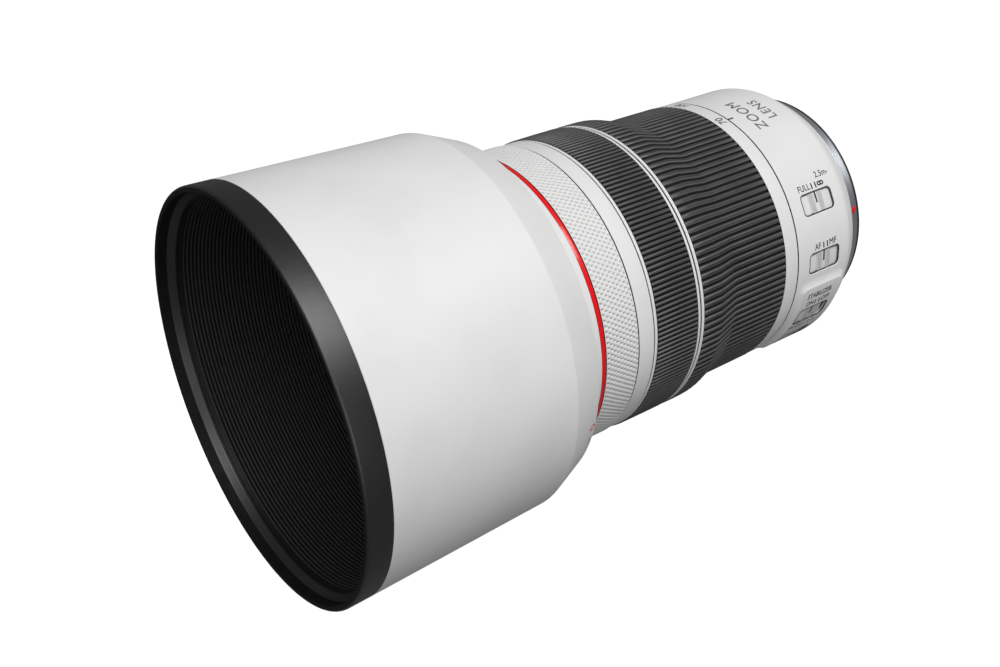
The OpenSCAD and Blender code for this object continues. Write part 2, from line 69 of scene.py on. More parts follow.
def filleted(corners, steps=4):
    """A closed outline of (radius, y) points from corners that may carry a fillet radius."""
    out = []
    for i, corner in enumerate(corners):
        here = Vector(corner[:2])
        if len(corner) == 2:
            out.append(here[:])
            continue
        before = Vector(corners[i - 1][:2]) - here
        after = Vector(corners[(i + 1) % len(corners)][:2]) - here
        half = before.angle(after) / 2
        reach = min(corner[2] / tan(half), 0.48 * before.length, 0.48 * after.length)
        radius = reach * tan(half)
        centre = here + (before.normalized() + after.normalized()).normalized() * radius / sin(half)
        start = here + before.normalized() * reach - centre
        end = here + after.normalized() * reach - centre
        a = atan2(start.y, start.x)
        turn = (atan2(end.y, end.x) - a + pi) % TAU - pi
        for k in range(steps + 1):
            b = a + turn * k / steps
            out.append((centre.x + radius * cos(b), centre.y + radius * sin(b)))
    return out


def lathe(loop, turns=360, relief=None):
    """Vertices and faces of a closed (radius, y) outline turned about the axis.
    relief gives how far each point stands out, from arrays of radius, y and angle in turns."""
    r, y = np.array(loop, float).T[:, :, None]
    # A backward loop would give faces that point inwards
    if np.sum(r * np.roll(y, -1) - np.roll(r, -1) * y) < 0:
        r, y = r[::-1], y[::-1]
    share = np.arange(turns) / turns
    radius = r + (relief(r, y, share) if relief else 0 * share)
    phi = TAU * share
    co = np.stack([radius * np.sin(phi), y + 0 * radius, radius * np.cos(phi)], -1)
    i, j = np.meshgrid(np.arange(len(r)), np.arange(turns), indexing="ij")
    i1, j1 = (i + 1) % len(r), (j + 1) % turns
    faces = np.stack([i * turns + j, i * turns + j1, i1 * turns + j1, i1 * turns + j], -1)
    return co.reshape(-1, 3), faces.reshape(-1, 4).tolist()


def lens_solid(y0, y1, rim, curve_0, curve_1, rings=28, turns=128):
    """Vertices and faces of a glass element between two vertices on the axis."""
    t = np.linspace(0, 1, rings)[1:]
    sag_0 = curve_0 - np.sqrt(curve_0 ** 2 - (rim * t) ** 2)
    sag_1 = curve_1 - np.sqrt(curve_1 ** 2 - (rim * t) ** 2)
    rows = [(rim * a, y0 + b) for a, b in zip(t, sag_0)]
    rows += [(rim * a, y1 - b) for a, b in zip(t[::-1], sag_1[::-1])]
    co, faces = lathe(rows, turns)
    # lathe() also joins the last row to the first. Those faces go, and a fan closes each side instead
    faces = faces[:-turns]
    count = len(co)
    co = np.vstack([co, [[0, y0, 0], [0, y1, 0]]])
    first, last = (count + 1, count) if co[0, 1] > (y0 + y1) / 2 else (count, count + 1)
    for k in range(turns):
        k1 = (k + 1) % turns
        faces += [[first, k1, k], [last, count - turns + k, count - turns + k1]]
    return co, faces


def outline(w, l, corner, steps=6):
    """Points of a rectangle with round corners, w across and l along."""
    corner = max(min(corner, w / 2 - 1e-3, l / 2 - 1e-3), 1e-3)
    points = []
    for quarter, (sx, sy) in enumerate([(1, 1), (-1, 1), (-1, -1), (1, -1)]):
        for k in range(steps + 1):
            a = (quarter + k / steps) * pi / 2
            points.append((sx * (w / 2 - corner) + corner * cos(a),
                           sy * (l / 2 - corner) + corner * sin(a)))
    return points


def slab(w, l, corner, h0, h1, edge=0.12, pitch=0.7, flare=0, t=0, dy=0):
    """A rounded block in flat coordinates (across, along, height), cut fine enough to bend.
    Its top edge is soft, or flare widens its top, which makes a cutter that leaves a bevel."""
    levels = [(h0, 0)]
    if flare:
        levels += [(h1 - flare, 0), (h1, flare), (h1 + 1, flare + 1)]
    else:
        levels += [(h1 - edge * (1 - sin(a)), -edge * (1 - cos(a)))
                   for a in np.linspace(0, pi / 2, 4)]
    bm = skinned([[(t + x, dy + y, height) for x, y in outline(w + 2 * grow, l + 2 * grow, corner + grow)]
                  for height, grow in levels])
    sliced(bm, t, w, pitch)
    return taken(bm)


def skinned(rings, closed=False):
    """A bmesh of rings of points with faces between them. The last ring meets the first if it is closed,
    and otherwise both are capped."""
    bm = bmesh.new()
    rows = [[bm.verts.new(point) for point in ring] for ring in rings]
    count = len(rows[0])
    for a, b in zip(rows, rows[1:] + rows[:1] if closed else rows[1:]):
        for k in range(count):
            k1 = (k + 1) % count
            bm.faces.new((a[k], a[k1], b[k1], b[k]))
    if not closed:
        bm.faces.new(rows[-1])
        bm.faces.new(rows[0][::-1])
    return bm


def sliced(bm, t, w, pitch):
    """Cuts a flat block across into strips, so that it can be bent."""
    cuts = int(w / pitch)
    for k in range(1, cuts + 1):
        x = t - w / 2 + w * k / (cuts + 1)
        bmesh.ops.bisect_plane(bm, geom=bm.verts[:] + bm.edges[:] + bm.faces[:],
                               plane_co=(x, 0, 0), plane_no=(1, 0, 0))


def taken(bm):
    """A bmesh's vertices and faces as a plain shape."""
    bm.verts.index_update()
    co = np.array([v.co for v in bm.verts])
    faces = [[v.index for v in f.verts] for f in bm.faces]
    bm.free()
    return co, faces


def painted_shadow_frame_ring(w, l, corner, width, h0, h1):
    """A flat closed frame whose outer edge is w by l. Made black, it is a painted shadow round a switch's
    window.
    """
    bm = skinned([[(x, y, height) for x, y in outline(w + 2 * grow, l + 2 * grow, corner + grow)]
                  for grow, height in ((0, h0), (0, h1), (-width, h1), (-width, h0))], closed=True)
    sliced(bm, 0, w, 0.7)
    return taken(bm)


def mirrored(shape, *signs):
    """A shape with some of its coordinates' signs changed, and its faces turned to point outwards again."""
    co, faces = shape
    return co * np.array(signs), [f[::-1] for f in faces]


def on_cone(shape, station, y0, r0, slope):
    """Moves a flat shape to a station on a cone, which has radius r0 at y0 and narrows towards the rear."""
    co, faces = shape
    y = co[:, 1] + station
    return np.stack([co[:, 0], y, co[:, 2] + r0 - (y - y0) * slope], -1), faces


def bend(shape, phi, y, radius):
    """Wraps a flat shape around the axis: across becomes an angle at that radius, and height the radius."""
    co, faces = shape
    a = radians(phi) + co[:, 0] / radius
    r = co[:, 2]
    return np.stack([r * np.sin(a), co[:, 1] + y, r * np.cos(a)], -1), faces


def beside(phi, radius):
    """x and z of a point beside the optical axis."""
    return radius * sin(radians(phi)), radius * cos(radians(phi))


def post(phi, radius, corners, turns=40):
    """A small turned solid beside the optical axis. Its (radius, y) corners start and end on its own axis."""
    co, faces = lathe(filleted(corners), turns)
    x, z = beside(phi, radius)
    return co + np.array([x, 0, z]), faces


def joined(*shapes):
    """One vertex and face list from several closed shapes."""
    all_co, all_faces, start = [], [], 0
    for co, faces in shapes:
        all_co.append(co)
        all_faces += [[v + start for v in f] for f in faces]
        start += len(co)
    return np.vstack(all_co), all_faces


def placed(name, data):
    """A new object in the scene."""
    thing = bpy.data.objects.new(name, data)
    scene.collection.objects.link(thing)
    return thing


def mesh_object(name, shape):
    co, faces = shape
    mesh = bpy.data.meshes.new(name)
    mesh.from_pydata((co * MM).tolist(), [], faces)
    mesh.update()
    return placed(name, mesh)


def recalculated(thing):
    """Makes the faces of closed shapes point outwards."""
    bm = bmesh.new()
    bm.from_mesh(thing.data)
    bmesh.ops.remove_doubles(bm, verts=bm.verts[:], dist=1e-8)
    bmesh.ops.dissolve_degenerate(bm, edges=bm.edges[:], dist=1e-8)
    bmesh.ops.recalc_face_normals(bm, faces=bm.faces[:])
    bm.to_mesh(thing.data)
    bm.free()


def carved(thing, *cutters):
    """Cuts closed shapes out of a closed mesh."""
    recalculated(thing)
    tools = []
    for k, shape in enumerate(cutters):
        tool = mesh_object(f"cutter_{k}", shape)
        recalculated(tool)
        modifier = thing.modifiers.new(f"cut_{k}", "BOOLEAN")
        modifier.object = tool
        modifier.operation = "DIFFERENCE"
        modifier.solver = "EXACT"
        tools.append(tool)
    graph = bpy.context.evaluated_depsgraph_get()
    old, thing.data = thing.data, bpy.data.meshes.new_from_object(thing.evaluated_get(graph))
    thing.modifiers.clear()
    for mesh in [old] + [tool.data for tool in tools]:
        bpy.data.meshes.remove(mesh)


def piece(name, shape, body, finish, *nodes, cuts=(), sharp=38, fix=False, slot=None):
    """A finished piece: its mesh, what it rides on, its material and the CAD nodes it stands for."""
    thing = mesh_object(name, shape)
    if cuts:
        carved(thing, *cuts)
    elif fix:
        recalculated(thing)
    thing.data.materials.clear()
    thing.data.materials.append(finish)
    thing.data.shade_smooth()
    thing.data.set_sharp_from_angle(angle=radians(sharp))
    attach(thing, body)
    if nodes:
        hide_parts(*nodes)
    return thing


def turned(name, corners, turns, body, finish, *nodes, steps=5, **more):
    """A piece turned about the axis from the corners of its outline."""
    return piece(name, lathe(filleted(corners, steps), turns), body, finish, *nodes, **more)


def inner_black_and_painted_shade(thing, radius, finish=None, front=-1e3, rear=1e3):
    """Gives the faces nearer the axis than that radius, between two stations, a second and dark material. It is
    the black of inner mouldings, and in seams, gaps and windows it is painted shade.
    """
    if len(thing.data.materials) < 2:
        thing.data.materials.append(finish or black_moulded)
    for face in thing.data.polygons:
        x, y, z = face.center / MM
        if hypot(x, z) < radius and front < y < rear:
            face.material_index = 1


def note_depth(thing, surface):
    """Stores how far each point lies from a line of (y, radius) points, in millimetres."""
    count = len(thing.data.vertices)
    co = np.zeros(count * 3)
    thing.data.vertices.foreach_get("co", co)
    co = co.reshape(-1, 3) / MM
    y, radius = np.array(surface).T
    depth = np.abs(np.interp(co[:, 1], y, radius) - np.hypot(co[:, 0], co[:, 2]))
    thing.data.attributes.new("depth", "FLOAT", "POINT").data.foreach_set("value", depth.astype(np.float32))


# ---- materials

class Nodes:
    """Short calls for building one material's node tree."""

    def __init__(self, name, **values):
        self.material = bpy.data.materials.new(name)
        self.material.use_nodes = True
        self.tree = self.material.node_tree
        self.shader = self.tree.nodes["Principled BSDF"]
        self.coordinates = self.new("TexCoord").outputs["Object"]
        for key, value in values.items():
            self.shader.inputs[key.replace("_", " ")].default_value = value

    def new(self, kind, **inputs):
        node = self.tree.nodes.new("ShaderNode" + kind)
        for key, value in inputs.items():
            node.inputs[key].default_value = value
        return node

    def link(self, a, b):
        self.tree.links.new(a, b)

    def noise(self, scale, detail, rough=0.5, vector=None):
        node = self.new("TexNoise", Scale=scale, Detail=detail, Roughness=rough)
        self.link(vector or self.coordinates, node.inputs["Vector"])
        return node.outputs["Fac"]

    def cells(self, scale, distance="EUCLIDEAN"):
        """Distance to the middle of the nearest of many small cells."""
        node = self.new("TexVoronoi", Scale=scale)
        node.distance = distance
        self.link(self.coordinates, node.inputs["Vector"])
        return node.outputs["Distance"]

    def depth(self):
        """How deep a point lies in a groove, as note_depth() stored it."""
        node = self.new("Attribute")
        node.attribute_name = "depth"
        return node.outputs["Fac"]

    def ramp(self, value, *stops):
        node = self.new("ValToRGB")
        while len(node.color_ramp.elements) < len(stops):
            node.color_ramp.elements.new(0.5)
        for element, (at, colour) in zip(node.color_ramp.elements, stops):
            element.position = at
            element.color = (*colour, 1) if hasattr(colour, "__len__") else (colour, colour, colour, 1)
        self.link(value, node.inputs["Fac"])
        return node.outputs["Color"]

    def turned(self, scale):
        """Coordinates that repeat around the optical axis, for marks left by a lathe."""
        apart = self.new("SeparateXYZ")
        self.link(self.coordinates, apart.inputs[0])
        x, y, z = apart.outputs
        square = self.maths("ADD", self.maths("MULTIPLY", x, x), self.maths("MULTIPLY", z, z))
        both = self.new("CombineXYZ")
        self.link(self.maths("MULTIPLY", self.maths("SQRT", square, 0), scale), both.inputs["X"])
        self.link(self.maths("MULTIPLY", y, scale), both.inputs["Y"])
        return both.outputs["Vector"]

    def product(self, a, b):
        """Two colours multiplied."""
        node = self.new("Mix", Factor=1)
        node.data_type = "RGBA"
        node.blend_type = "MULTIPLY"
        self.link(a, node.inputs["A"])
        self.link(b, node.inputs["B"])
        return node.outputs["Result"]

    def maths(self, operation, a, b):
        node = self.new("Math")
        node.operation = operation
        for k, value in enumerate((a, b)):
            if isinstance(value, (int, float)):
                node.inputs[k].default_value = value
            else:
                self.link(value, node.inputs[k])
        return node.outputs["Value"]

    def bump(self, height, strength, distance, onto=None):
        node = self.new("Bump", Strength=strength, Distance=distance)
        self.link(height, node.inputs["Height"])
        if onto:
            self.link(onto, node.inputs["Normal"])
        self.link(node.outputs["Normal"], self.shader.inputs["Normal"])
        return node.outputs["Normal"]

    def colour(self, source):
        self.link(source, self.shader.inputs["Base Color"])

    def roughness(self, source):
        self.link(source, self.shader.inputs["Roughness"])

    def drift(self, scale, detail, low, high):
        """A value or colour that drifts between two."""
        return self.ramp(self.noise(scale, detail), (0.3, low), (0.7, high))

    def gloss(self, *drift):
        self.roughness(self.drift(*drift))


def tint(colour, factor):
    """A colour made darker or lighter."""
    return tuple(min(1, c * factor) for c in colour)


def painted(name, colour, rough, grain=0.25, fine=2600, gloss=0.5):
    """Paint or moulded plastic: a fine grain, slow colour drift and small changes of gloss."""
    n = Nodes(name, Specular_IOR_Level=gloss)
    n.colour(n.ramp(n.noise(55, 4), (0.3, tint(colour, 0.965)), (0.5, colour), (0.7, tint(colour, 1.02))))
    n.gloss(900, 3, rough * 0.9, rough * 1.12)
    first = n.bump(n.noise(fine, 2, 0.6), grain, 0.00004)
    n.bump(n.noise(fine * 0.3, 2), grain * 0.25, 0.00005, first)
    return n.material


def grainy_black(name, colour, rough, grain, size, gloss=0.5, coat=0.0):
    """Textured black plastic with a coarse sparkle in its highlights."""
    n = Nodes(name, Specular_IOR_Level=gloss, Coat_Weight=coat, Coat_Roughness=0.4)
    n.colour(n.drift(size * 0.4, 3, tint(colour, 0.8), tint(colour, 1.3)))
    n.gloss(size * 0.7, 2, rough * 0.85, rough * 1.15)
    first = n.bump(n.cells(size), grain, 0.00006)
    n.bump(n.noise(size * 1.7, 3), grain * 0.6, 0.00004, first)
    return n.material


def flock(name):
    """Matt black anti-reflection lining."""
    n = Nodes(name, Specular_IOR_Level=0.2)
    n.colour(n.drift(700, 4, 0.004, 0.008))
    n.gloss(300, 2, 0.5, 0.65)
    n.bump(n.noise(4200, 4, 0.7), 0.3, 0.00004)
    return n.material


def ribbed_flock_painted_highlight_and_shade(name):
    """Matt black lining whose rib tops are painted lighter as a painted highlight, and whose grooves are painted
    near black as painted shade.
    """
    n = Nodes(name, Specular_IOR_Level=0.3)
    tone = n.drift(700, 4, 0.8, 1.15)
    # Painted highlight and shade: the colour follows groove depth, lighter on the rib tops and near black down
    # in the grooves.
    n.colour(n.product(tone, n.ramp(n.depth(), (0.0, 0.042), (0.06, 0.042), (0.2, 0.003), (0.5, 0.0005))))
    n.roughness(n.ramp(n.depth(), (0.06, 0.5), (0.2, 0.9)))
    n.bump(n.noise(4200, 4, 0.7), 0.2, 0.00003)
    return n.material


def rubber(name, colour, rough):
    """Seal rubber: a dusty bloom in places, and a fine moulded grain."""
    n = Nodes(name, Specular_IOR_Level=0.4)
    n.colour(n.ramp(n.noise(120, 5, 0.6), (0.3, tint(colour, 0.8)), (0.55, colour), (0.75, tint(colour, 1.35))))
    n.gloss(500, 3, rough * 0.88, rough * 1.15)
    n.bump(n.noise(3600, 3, 0.65), 0.3, 0.00004)
    return n.material


def ribbed_rubber_painted_highlight_and_shade(name, crest, edge):
    """Grip rubber: dull rib tops, smoother rib edges painted lighter as a painted highlight, and grooves painted
    black as painted shade.
    """
    n = Nodes(name, Specular_IOR_Level=0.55)
    bloom = n.ramp(n.noise(120, 5, 0.6), (0.3, 0.8), (0.55, 1.0), (0.75, 1.2))
    # Painted highlight and shade by groove depth: crest is the rib tops' colour, edge the lighter painted
    # highlight on the rib shoulders, and the grooves go near black.
    deep = n.ramp(n.depth(), (0.0, crest), (0.012, crest), (0.07, edge), (0.2, edge), (0.45, 0.003),
                  (0.8, 0.001))
    n.colour(n.product(bloom, deep))
    n.roughness(n.ramp(n.depth(), (0.0, 0.5), (0.012, 0.5), (0.07, 0.36), (0.2, 0.36), (0.45, 0.9)))
    n.bump(n.noise(3600, 3, 0.65), 0.25, 0.00004)
    return n.material


def knurled_paint_with_painted_shade(name, colour, rough):
    """White paint on a knurled ring, painted greyer in the dimples as painted shade."""
    n = Nodes(name, Specular_IOR_Level=0.3)
    tone = n.drift(55, 4, tint(colour, 0.97), tint(colour, 1.02))
    # Painted shade: the colour darkens with dimple depth, to about half at the bottom.
    n.colour(n.product(tone, n.ramp(n.depth(), (0.04, 1.0), (0.18, 0.86), (0.45, 0.56))))
    n.gloss(900, 3, rough * 0.9, rough * 1.12)
    n.bump(n.noise(3600, 2, 0.6), 0.08, 0.00003)
    return n.material


def enamel(name):
    """Glossy red enamel."""
    n = Nodes(name, Coat_Weight=1.0, Coat_Roughness=0.14, Specular_IOR_Level=0.3)
    n.colour(n.drift(90, 3, (0.8, 0.001, 0.004), (0.86, 0.003, 0.007)))
    n.gloss(700, 2, 0.28, 0.34)
    n.bump(n.noise(1500, 2), 0.02, 0.00002)
    return n.material


def turned_metal(name, colour, rough, lines=30000, strength=0.25):
    """Lathe-turned metal: fine circular marks, with a slow change of tone and gloss."""
    n = Nodes(name, Metallic=1.0)
    marks = n.noise(1.0, 4, 0.6, n.turned(lines))
    n.colour(n.drift(80, 4, tint(colour, 0.93), tint(colour, 1.04)))
    n.roughness(n.ramp(marks, (0.3, rough * 0.8), (0.7, rough * 1.25)))
    first = n.bump(marks, strength, 0.00002)
    n.bump(n.noise(2500, 2), strength * 0.3, 0.00003, first)
    return n.material


def coated_glass(name, cool, warm):
    """Lens glass whose reflections change tone across the surface, from its coating."""
    n = Nodes(name, Transmission_Weight=1.0, IOR=1.52, Roughness=0.0, Coat_Weight=0.3, Coat_Roughness=0.02)
    facing = n.new("LayerWeight", Blend=0.35).outputs["Facing"]
    drift = n.noise(18, 2)
    n.colour(n.ramp(n.maths("ADD", facing, n.maths("MULTIPLY", drift, 0.2)), (0.1, cool), (0.9, warm)))
    return n.material


def circuit(name):
    """Green solder mask with copper runs under it and small bright pads."""
    n = Nodes(name)
    cells = n.cells(420, "CHEBYCHEV")
    n.colour(n.ramp(cells, (0.12, (0.55, 0.5, 0.4)), (0.16, (0.012, 0.13, 0.05)),
                    (0.5, (0.008, 0.09, 0.035)), (0.8, (0.012, 0.15, 0.06))))
    n.gloss(600, 2, 0.3, 0.45)
    n.bump(cells, 0.3, 0.00005)
    return n.material


def ink(name, colour):
    """Printed or filled marking: slightly uneven cover and gloss."""
    n = Nodes(name)
    n.colour(n.drift(2400, 3, tint(colour, 0.85), tint(colour, 1.2)))
    n.gloss(1300, 2, 0.4, 0.55)
    n.bump(n.noise(5200, 2), 0.15, 0.00002)
    return n.material


WHITE = (0.80, 0.80, 0.795)
white_hood = painted("white_hood_paint", tint(WHITE, 1.015), 0.5, grain=0.07, fine=3600)
white_body = painted("white_body_paint", WHITE, 0.55, grain=0.3, fine=2200, gloss=0.35)
white_ring = painted("white_ring_paint", tint(WHITE, 0.99), 0.55, grain=0.08, gloss=0.35)
white_knob = painted("white_knob_plastic", tint(WHITE, 0.985), 0.4, grain=0.2)
grey_pad = painted("grey_pad_plastic", (0.60, 0.60, 0.605), 0.5, grain=0.2)
black_ring = grainy_black("black_ring_plastic", (0.006, 0.006, 0.0063), 0.4, 0.34, 5200, 0.85, 0.3)
black_moulded = grainy_black("black_moulded_plastic", (0.015, 0.015, 0.016), 0.5, 0.3, 3200)
black_lining = flock("black_lining")
ribbed_lining = ribbed_flock_painted_highlight_and_shade("ribbed_lining")
# 0.105 is the rib edges' painted highlight colour, and the grooves get painted shade.
grip_rubber = ribbed_rubber_painted_highlight_and_shade("grip_rubber", 0.03, 0.105)
white_knurl_painted_shade = knurled_paint_with_painted_shade("white_knurl_paint_painted_shade", tint(WHITE, 0.99), 0.6)
seal_rubber = rubber("seal_rubber", (0.012, 0.012, 0.013), 0.42)
red_enamel = enamel("red_enamel")
mount_metal = turned_metal("mount_metal", (0.71, 0.755, 0.80), 0.38, strength=0.008)
light_alloy = turned_metal("light_alloy", (0.62, 0.63, 0.65), 0.36)
black_alloy = turned_metal("black_alloy", (0.035, 0.035, 0.038), 0.42)
bright_steel = turned_metal("bright_steel", (0.6, 0.6, 0.61), 0.26, lines=16000)
brass = turned_metal("brass", (0.78, 0.56, 0.24), 0.28, lines=16000)
front_coating = coated_glass("front_coating", (0.92, 0.97, 0.95), (0.75, 0.85, 0.98))
inner_coating = coated_glass("inner_coating", (0.95, 0.97, 0.93), (0.85, 0.8, 0.97))
board_green = circuit("board_green")
dark_ink = ink("dark_ink", (0.045, 0.045, 0.05))
grey_ink = ink("grey_ink", (0.16, 0.16, 0.165))
red_ink = ink("red_ink", (0.72, 0.006, 0.012))

# The materials that fill each slot. The first also goes on the CAD nodes that stay in view
SLOTS = {
    "white_shell": [white_body, white_ring, white_knurl_painted_shade], "white_plastic": [white_knob, white_hood, grey_pad],
    "black_plastic": [black_moulded, black_ring, dark_ink, grey_ink], "grip_rubber": [grip_rubber],
    "black_lining": [black_lining, ribbed_lining], "seal_rubber": [seal_rubber],
    "red_enamel": [red_enamel, red_ink], "mount_metal": [mount_metal], "light_alloy": [light_alloy],
    "black_alloy": [black_alloy], "steel": [bright_steel], "brass": [brass],
    "lens_glass": [inner_coating, front_coating], "circuit_board": [board_green],
}


def refinish_cad_nodes():
    """Gives every CAD node the detailed material of its slot, for those that stay in view."""
    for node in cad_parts.values():
        finish = SLOTS[node.data.materials[0].name.split(".")[0]][0]
        node.data.materials.clear()
        node.data.materials.append(finish)


# ---- hood

HOOD_FRONT, RING_BACK, RING_R = span("hood_front_ring")
HOOD_BACK = span("hood_shell")[1]
LINING_BACK = span("hood_lining")[1]
HOOD_WALL = 1.6
# Station where the inside of the hood's wall turns in behind the lining
WALL_END = -121.5
LINING_STEP = 0.42
SHOULDER_Y, SHOULDER_R = -122.7, 51.6
HOOD_TAIL_R = 47.7
BUTTON_PHI = bearing("hood_release_button")
BUTTON_Y = sum(span("hood_release_button")[:2]) / 2
BUTTON_SIZE = (11, 12)
BUTTON_R = 51.7


def hood_radius(y):
    """Outer radius of the hood's tapered shell."""
    return RING_R - (RING_R - SHOULDER_R) * (y - HOOD_FRONT) / (SHOULDER_Y - HOOD_FRONT)


def button_opening(grow, low, high):
    return bend(slab(BUTTON_SIZE[0] + grow, BUTTON_SIZE[1] + grow, 2, low, high, flare=0.25),
                BUTTON_PHI, BUTTON_Y, BUTTON_R)


def build_hood_shell():
    wall_front = hood_radius(RING_BACK) - HOOD_WALL
    wall_back = SHOULDER_R - HOOD_WALL
    bore = span("front_ring")[2] + 0.4
    # Two short rows behind the black ring keep its edge crisp
    turned("hood_body", [
        (wall_front, RING_BACK + 0.02), (hood_radius(RING_BACK) - 0.12, RING_BACK + 0.02, 0.06),
        (hood_radius(RING_BACK + 0.1), RING_BACK + 0.14, 0.05),
        *((hood_radius(y), y) for y in (-172, -160, -146, -132)),
        (SHOULDER_R + 0.02, SHOULDER_Y, 1.5), (HOOD_TAIL_R, HOOD_BACK - 0.35, 0.45),
        (HOOD_TAIL_R - 0.7, HOOD_BACK, 0.3), (bore, HOOD_BACK, 0.3), (bore, HOOD_BACK - 7),
        (wall_back - 1.2, HOOD_BACK - 7), (wall_back, WALL_END),
    ], 512, "hood", white_hood, "hood_shell", steps=8, cuts=[button_opening(0.7, 44, SHOULDER_R + 0.1)])


def build_hood_lugs():
    """The three bayonet lugs inside the hood's rear end."""
    lug = mirrored(slab(17.2, 1.9, 0.4, -43.0, -41.35, 0.2), 1, 1, -1)
    shapes = [bend(lug, phi, -116.3, 42) for phi in (20, 140, 260)]
    piece("hood_bayonet_lugs", joined(*shapes), "hood", white_knob, fix=True)


def build_hood_ring():
    r_in, ledge, step = RING_R - 1.6, RING_R - 2.8, LINING_STEP
    loop = filleted([
        (r_in, HOOD_FRONT + 0.02, 0.45), (RING_R - 0.02, HOOD_FRONT + 0.02, 0.8),
        (hood_radius(RING_BACK - 2), RING_BACK - 2), (hood_radius(RING_BACK), RING_BACK - 0.03, 0.12),
        (ledge, RING_BACK - 0.03),
    ], steps=8)
    # Two of the lining's steps start on the ring itself, behind a narrow sloping ledge
    loop += [(ledge + out, RING_BACK - back) for out, back in (
        (step, 0.1), (step, 0.45), (0, 0.58), (0, 1.05), (step, 1.16), (step, 1.5), (0, 1.63), (-0.02, 1.95),
        (0.06, 2.15))]
    loop += [(r_in - 0.06, HOOD_FRONT + 3.0), (r_in, HOOD_FRONT + 2.8)]
    thing = piece("hood_rim", lathe(loop, 512), "hood", black_ring, "hood_front_ring")
    inner_black_and_painted_shade(thing, RING_R - 0.45, black_lining, rear=HOOD_FRONT + 2.8)


def build_hood_lining():
    """A thin lining with fine steps all the way down the hood."""
    front_r = hood_radius(RING_BACK) - HOOD_WALL
    back_r = SHOULDER_R - HOOD_WALL
    thick, start, end = 0.9, RING_BACK + 0.1, -122.6
    count = round((end - start) / 1.05)
    pitch = (end - start) / count

    def inner(at):
        return front_r + (back_r - front_r) * (at - RING_BACK) / (WALL_END - RING_BACK) - thick
    rows = []
    for k in range(count):
        y = start + k * pitch
        top, root = inner(y), inner(y) + LINING_STEP
        rows += [(top, y + 0.05), (top, y + pitch * 0.42), (root, y + pitch * 0.52), (root, y + pitch * 0.9)]
    back = [(back_r - 0.9, -122.3), (back_r - 1.9, -120.5), (44.0, -120.5), (44.0, LINING_BACK),
            (back_r - 1.2, LINING_BACK), (back_r - 0.02, WALL_END), (front_r - 0.02, RING_BACK + 0.02),
            (front_r - thick, RING_BACK + 0.02)]
    thing = piece("hood_ribbed_lining_painted_highlight_and_shade", lathe(rows + back), "hood", ribbed_lining, "hood_lining",
                  cuts=[button_opening(3, 44, 56)], sharp=30)
    note_depth(thing, [(start, inner(start)), (end, inner(end))])


def build_hood_button():
    shapes = [slab(*BUTTON_SIZE, 1.8, 50.5, 51.75, 0.3)]
    shapes += [slab(8.2, 0.7, 0.3, 51.5, 52.08, 0.2, dy=k * 1.6) for k in range(-2, 3)]
    piece("hood_button", bend(joined(*shapes), BUTTON_PHI, BUTTON_Y, BUTTON_R), "hood_button", white_knob,
          "hood_release_button")


# ---- front barrel

FRONT_Y, _, FRONT_R = span("front_ring")
RED_Y0, RED_Y1, RED_R = span("red_ring")
THREAD_R = 38.1


def build_front_ring():
    """White front ring with the hood's bayonet groove, and a separate black thread insert."""
    g0, g1 = -117.6, -115.0
    entries = [bend(slab(19.5, 3.2, 0.5, 41.02, 44), phi, -118.6, 42) for phi in (80, 200, 320)]
    turned("filter_ring_shell", [
        (39.6, FRONT_Y + 0.05, 0.2), (FRONT_R, FRONT_Y, 0.5), (FRONT_R, g0, 0.12), (41, g0), (41, g1),
        (FRONT_R, g1, 0.12), (FRONT_R, -111), (FRONT_R, RED_Y0 - 0.04, 0.2), (40.3, RED_Y0 - 0.04),
        (40.3, -109.25), (39.6, -109.25),
    ], 384, "front_barrel", white_body, "front_ring", cuts=entries)
    start, crest, root, pitch = FRONT_Y + 0.35, THREAD_R, THREAD_R + 0.42, 0.75
    rows = [(39.58, FRONT_Y + 0.1), (39.0, FRONT_Y + 0.08), (root, start - 0.1)]
    for k in range(4):
        y = start + k * pitch
        rows += [(crest, y + 0.12), (crest, y + 0.22), (root, y + 0.58), (root, y + 0.66)]
    rows += [(crest, start + 3.35), (crest, start + 3.5), (39.0, start + 3.55), (39.0, -109.3), (39.58, -109.3)]
    piece("filter_thread_insert", lathe(rows, 256), "front_barrel", black_moulded, sharp=25, fix=True)


def build_red_band():
    y0, y1 = RED_Y0 + 0.03, RED_Y1 - 0.03
    thing = turned("red_band", [(40.25, y0), (RED_R, y0, 0.28), (RED_R, y1, 0.28), (40.25, y1)], 384,
                   "front_barrel", red_enamel, "red_ring")
    # Painted shade: the band's sides are dark and stand for the shade in the seams beside it.
    inner_black_and_painted_shade(thing, RED_R - 0.4)


def build_extending_barrel():
    thing = turned("extending_barrel", [
        (35.3, -109.2), (40.2, -109.2), (40.2, RED_Y1 - 0.02), (36.5, RED_Y1 - 0.02), (36.5, -90),
        (36.5, -60), (36.5, -40, 0.3), (35.3, -40),
    ], 320, "front_barrel", white_ring, "extending_tube", steps=4)
    # Painted shade: the front face behind the red band is dark and stands for the shade in the gap there.
    inner_black_and_painted_shade(thing, 50, rear=RED_Y1 + 0.5)


def build_name_bezel():
    """Stepped black ring round the front glass."""
    rows = [(37.9, -115.05), (38.88, -115.05), (38.88, -109.35), (34.1, -109.35), (34.1, -111.9)]
    for k in range(5):
        r, y = 34.2 + k * 0.74, -112.0 - k * 0.61
        rows += [(r, y), (r + 0.1, y - 0.42), (r + 0.6, y - 0.5)]
    piece("front_bezel", lathe(rows, 256), "front_barrel", black_moulded, "name_ring", sharp=25, fix=True)


def build_front_glass():
    glasses = joined(lens_solid(-114.5, -105.45, 34.25, 95, 900), lens_solid(-104.35, -99.65, 32.95, 150, 900))
    piece("front_glass", glasses, "front_barrel", front_coating, "front_elements", fix=True)


# ---- turning rings

RING_BORE = 37.7
# How far the white sleeves are turned down under the grips
GRIP_BED = 1.78


